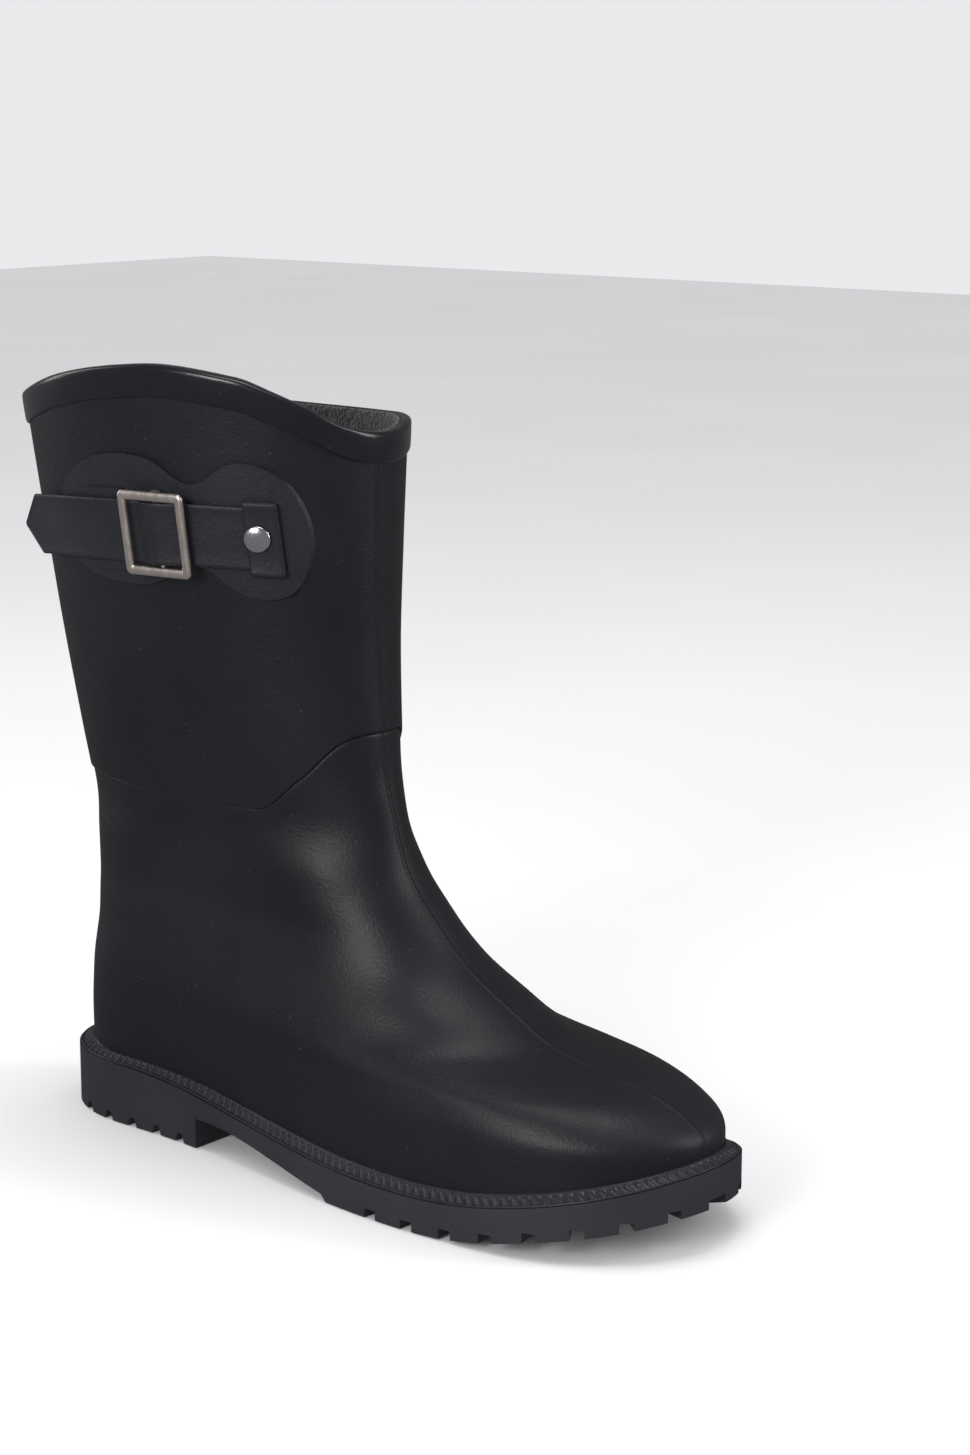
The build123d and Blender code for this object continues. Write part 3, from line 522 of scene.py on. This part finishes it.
# ------------------------------------------------------------------ strap, buckle and rivet
BUCKLE_X, BUCKLE_Z = -45.5, 231.3
BAND_ARC = [(-130.0, 223.9), (BUCKLE_X, BUCKLE_Z - 1.0), (6.0, 228.8)]
LIFTS = [(-140, 2.6), (-101, 2.6), (-92, 2.8), (-81, 3.3), (-72, 3.4), (-64, 3.35), (-58.5, 3.3),
         (-54.5, 3.7), (-50, 5.2), (BUCKLE_X, 6.2), (-41, 5.2), (-36.5, 3.7), (-32, 2.9), (-24, 2.1),
         (-12, 2.0), (6, 2.0)]
TAIL_STRAIGHT_X = -101.0
TIP_X = -124.5
TIP_SHOULDER_X = -113.5


def wall_y(x, z):
    back, front = curve(HEEL_LINE, z), curve(INSTEP_LINE, z)
    heel = np.clip(1 - (x - back) / curve(HEEL_CAP, z), 0, 1)
    toe = np.clip(1 - (front - x) / curve(TOE_CAP, z), 0, 1)
    half = curve(BALL_HALF, z) * np.sqrt(1 - heel**2.2) * np.sqrt(1 - toe**2.2)
    return FOOT_Y - LEAN_RATE * np.maximum(0, z - LEAN_START) - half


def on_wall(x, z, lift):
    """Points lift away from the leg's outer side, level; past the tail's bend they run straight."""
    x, z, lift = np.broadcast_arrays(np.asarray(x, float), z, lift)
    held = np.maximum(x, TAIL_STRAIGHT_X)
    past = held - x
    across = wall_y(held + 0.5, z) - wall_y(held - 0.5, z)
    size = np.hypot(1, across)
    past = past * size
    return np.stack([held + (lift * across - past) / size,
                     wall_y(held, z) - (lift + past * across) / size, z], -1)


def arc_height(x):
    """Height of the strap's middle line: the parabola through BAND_ARC."""
    ends = np.array(BAND_ARC)
    powers = np.stack([ends[:, 0]**2, ends[:, 0], np.ones(3)], -1)
    k = np.linalg.solve(powers, ends[:, 1])
    return k[0] * x * x + k[1] * x + k[2]


def strip(name, xs, half, low, thick):
    """A strap with rounded edges and a shallow bead along each edge; half, low and thick are per x."""
    section = [(-1.0, 0.30), (-1.0, 0.70), (-0.985, 0.90), (-0.95, 1.0), (-0.90, 1.03),
               (-0.85, 1.0), (-0.80, 0.93), (-0.4, 0.93), (0.0, 0.93), (0.4, 0.93), (0.80, 0.93),
               (0.85, 1.0), (0.90, 1.03), (0.95, 1.0), (0.985, 0.90), (1.0, 0.70), (1.0, 0.30),
               (0.985, 0.1), (0.95, 0.0), (0.5, 0.0), (0.0, 0.0), (-0.5, 0.0), (-0.95, 0.0),
               (-0.985, 0.1)]
    rows = []
    for across, share in section:
        z = arc_height(xs) + across * half
        rows.append(on_wall(xs, z, low + share * thick))
    grid = np.array(rows).transpose(1, 0, 2)
    count, ring = grid.shape[:2]
    faces = grid_faces(count, ring, False, True)
    faces.append(tuple(range(ring))[::-1])
    faces.append(tuple((count - 1) * ring + k for k in range(ring)))
    return new_object(name, grid.reshape(-1, 3), faces)


def end_shrink(xs, left, right, radius):
    """0 to 1 rounding of a strip's ends over radius."""
    from_left = np.clip((xs - left) / radius, 0, 1)
    from_right = np.clip((right - xs) / radius, 0, 1)
    return np.sqrt(1 - (1 - from_left)**2) * np.sqrt(1 - (1 - from_right)**2)


xs = np.unique(np.concatenate([
    np.linspace(TIP_X, TIP_X + 0.8, 6),
    np.linspace(TIP_X, TIP_SHOULDER_X, 16),
    np.linspace(TIP_SHOULDER_X, -10.0, 154),
]))
half = 10.9 * np.clip((xs - TIP_X + 0.35) / (TIP_SHOULDER_X - TIP_X), 0, 1)
belt = strip("strap_belt", xs, half, curve(LIFTS, xs), 1.5 + 0 * xs)
belt.data.materials.append(STRAP_MAT)
tuple(on_wall(-62.8, 230, 4.1) * MM)
tuple(on_wall(-70.0, 230, 4.1) * MM)
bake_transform(belt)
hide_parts("strap", "strap_tail")

# The raised block at the riveted end, as places on the form before the lift.
BLOCK_LEFT, BLOCK_RIGHT, BLOCK_ROUND = -15.8, -6.2, 1.0
xs = np.unique(np.concatenate([
    np.linspace(BLOCK_LEFT, BLOCK_LEFT + BLOCK_ROUND, 6),
    np.linspace(BLOCK_LEFT + BLOCK_ROUND, BLOCK_RIGHT - BLOCK_ROUND, 12),
    np.linspace(BLOCK_RIGHT - BLOCK_ROUND, BLOCK_RIGHT, 6),
]))
shrink = end_shrink(xs, BLOCK_LEFT, BLOCK_RIGHT, BLOCK_ROUND)
block = strip("strap_end_block", xs, 12.1 + 0.9 * shrink, 2.0 + 0 * xs, 1.7 + 1.0 * shrink)
wear(block, STRAP_MAT)

def side_axes(x, z):
    """A point of the form's outer side with its directions right, up and out."""
    across = float(wall_y(x + 0.5, z) - wall_y(x - 0.5, z))
    upward = float(wall_y(x, z + 0.5) - wall_y(x, z - 0.5))
    out = Vector((across, -1, upward)).normalized()
    right = Vector((1, across, 0)).normalized()
    return Vector(on_wall(x, z, 0)), right, out.cross(right), out


# Buckle frame: a rounded rectangle swept with a pillowed section.
buckle_foot, buckle_right, buckle_up, buckle_out = side_axes(BUCKLE_X, BUCKLE_Z)


def buckle_point(a, b, c):
    return buckle_foot + buckle_right * a + buckle_up * b + buckle_out * c


WIDE, TALL, BAR, CORNER = 27.4, 30.0, 3.3, 2.2
ring_points = []
SECTION = 20
path = []
for cx, cy, begin in ((1, -1, -90), (1, 1, 0), (-1, 1, 90), (-1, -1, 180)):
    for k in range(9):
        angle = math.radians(begin + k * 90 / 8)
        path.append((cx, cy, math.cos(angle), math.sin(angle)))
for cx, cy, ca, sa in path:
    for k in range(SECTION):
        t = 2 * math.pi * k / SECTION
        c, s = math.cos(t), math.sin(t)
        side = math.copysign(abs(c) ** 0.7, c)
        rise = math.copysign(abs(s) ** (0.9 if s > 0 else 0.5), s)
        inset = BAR / 2 * (1 - side)
        radius = CORNER - inset
        if radius >= 0.35:
            a = cx * (WIDE / 2 - CORNER) + ca * radius
            b = cy * (TALL / 2 - CORNER) + sa * radius
        else:
            a = cx * (WIDE / 2 - inset - 0.35) + ca * 0.35
            b = cy * (TALL / 2 - inset - 0.35) + sa * 0.35
        ring_points.append(buckle_point(a, b, 6.9 + 1.0 * rise))
faces = grid_faces(len(path), SECTION, True, True)
buckle = new_object("buckle_ring", np.array([tuple(p) for p in ring_points]), faces)
rounder = buckle.modifiers.new("soft", "SUBSURF")
rounder.levels = rounder.render_levels = 1
wear(buckle, BUCKLE, body="buckle", nodes=["buckle_frame"])

lug_points, lug_faces = [], []
for side in (-1, 1):
    start = len(lug_points)
    rings = [(0.0, 0.75), (0.25, 1.0), (2.9, 1.0), (3.3, 0.8)]
    for depth, size in rings:
        for k in range(16):
            t = 2 * math.pi * k / 16
            c, s = math.cos(t), math.sin(t)
            a = 1.8 * size * math.copysign(abs(c) ** 0.5, c)
            b = 1.25 * size * math.copysign(abs(s) ** 0.5, s)
            lug_points.append(buckle_point(a, side * 13.35 + b, 2.7 + depth))
    lug_faces += grid_faces(4, 16, False, True, start)
    lug_faces.append(tuple(start + k for k in range(16))[::-1])
    lug_faces.append(tuple(start + 48 + k for k in range(16)))
lugs = new_object("buckle_lugs", np.array([tuple(p) for p in lug_points]), lug_faces)
wear(lugs, BUCKLE, body="buckle")

# Rivet: a low dome with a rolled edge.
RIVET_X, RIVET_Z = -12.3, 230.9
rivet_foot, rivet_right, rivet_up, rivet_out = side_axes(RIVET_X, RIVET_Z)
profile = [(1.5, 1.2), (1.5, 4.75), (4.2, 4.75), (4.5, 4.85), (4.6, 5.1), (4.5, 5.4), (4.2, 5.62),
           (3.9, 5.72), (3.4, 5.86), (2.6, 6.08), (1.7, 6.22), (0.9, 6.27), (0.15, 6.28)]
SEG = 48
rivet_points = []
for radius, height in profile:
    for k in range(SEG):
        t = 2 * math.pi * k / SEG
        rivet_points.append(rivet_foot + rivet_right * radius * math.cos(t)
                            + rivet_up * radius * math.sin(t) + rivet_out * height)
faces = grid_faces(len(profile), SEG, False, True)
faces.append(tuple((len(profile) - 1) * SEG + k for k in range(SEG)))
faces.append(tuple(range(SEG))[::-1])
rivet = new_object("rivet_dome", np.array([tuple(p) for p in rivet_points]), faces)
wear(rivet, RIVET, nodes=["rivet_cap"])

# ------------------------------------------------------------------ CAD nodes that stay
KEPT = {"outsole": SOLE_MAT, "strap_patch": STRAP_MAT, "buckle_chape": STRAP_MAT, "buckle_bar": BUCKLE,
        "heel_core": HEEL_FILL, "shank": STEEL, "insole_board": BOARD, "rivet_base": RIVET}
for name, mat in KEPT.items():
    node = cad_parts[name]
    node.data.materials.clear()
    node.data.materials.append(mat)
for name, width in (("outsole", 0.00045), ("strap_patch", 0.00035), ("buckle_chape", 0.0002)):
    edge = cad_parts[name].modifiers.new("edge", "BEVEL")
    edge.width = width
    edge.segments = 2
    edge.limit_method = "ANGLE"
    edge.angle_limit = math.radians(40)
    edge.harden_normals = False

# ------------------------------------------------------------------ floor, light and camera
bpy.ops.mesh.primitive_plane_add(size=8, location=(0, 0, -0.0004))
floor = bpy.context.object
floor.name = "floor"
fmat, ftree, fshader = nodes_of("floor_paper")
ftone = ramp(ftree, noise(ftree, 3, 2).outputs["Fac"], [(0.3, grey(0.80)), (0.7, grey(0.83))])
ftree.links.new(ftone.outputs["Color"], fshader.inputs["Base Color"])
fshader.inputs["Roughness"].default_value = 0.9
floor.data.materials.append(fmat)

world = bpy.data.worlds.new("studio")
bpy.context.scene.world = world
world.use_nodes = True
sky = world.node_tree.nodes["Background"]
sky.inputs["Color"].default_value = (0.93, 0.94, 0.96, 1)
paths = world.node_tree.nodes.new("ShaderNodeLightPath")
dim = world.node_tree.nodes.new("ShaderNodeMapRange")
dim.inputs["To Min"].default_value = 0.88
dim.inputs["To Max"].default_value = 0.16
world.node_tree.links.new(paths.outputs["Is Glossy Ray"], dim.inputs["Value"])
world.node_tree.links.new(dim.outputs["Result"], sky.inputs["Strength"])
floor.visible_glossy = False


def area(name, spot, target, size, power, tall=None):
    data = bpy.data.lights.new(name, "AREA")
    data.energy = power
    data.size = size
    if tall:
        data.shape = "RECTANGLE"
        data.size_y = tall
    light = bpy.data.objects.new(name, data)
    light.location = spot
    light.rotation_euler = (Vector(target) - Vector(spot)).to_track_quat("-Z", "Y").to_euler()
    bpy.context.scene.collection.objects.link(light)


area("overhead", (0.15, -0.05, 1.5), (0.05, 0, 0.1), 0.7, 7)
area("key", (0.2, -1.4, 0.62), (0, 0, 0.12), 0.6, 13)
area("front_strip", (1.2, 0.75, 0.7), (0, 0, 0.15), 0.3, 7, 1.0)
area("back_strip", (-1.3, -0.35, 0.6), (0, 0, 0.15), 0.25, 3, 1.0)

cam = bpy.data.cameras.new("camera")
cam.sensor_width = 36
cam.lens = 74.2
camera = bpy.data.objects.new("camera", cam)
camera.location = (0.6785, -0.7614, 0.3811)
aim = Vector((-0.619, 0.7563, -0.2117)).normalized()
camera.rotation_euler = aim.to_track_quat("-Z", "Y").to_euler()
bpy.context.scene.collection.objects.link(camera)
bpy.context.scene.camera = camera
bpy.context.scene.view_settings.view_transform = "Standard"
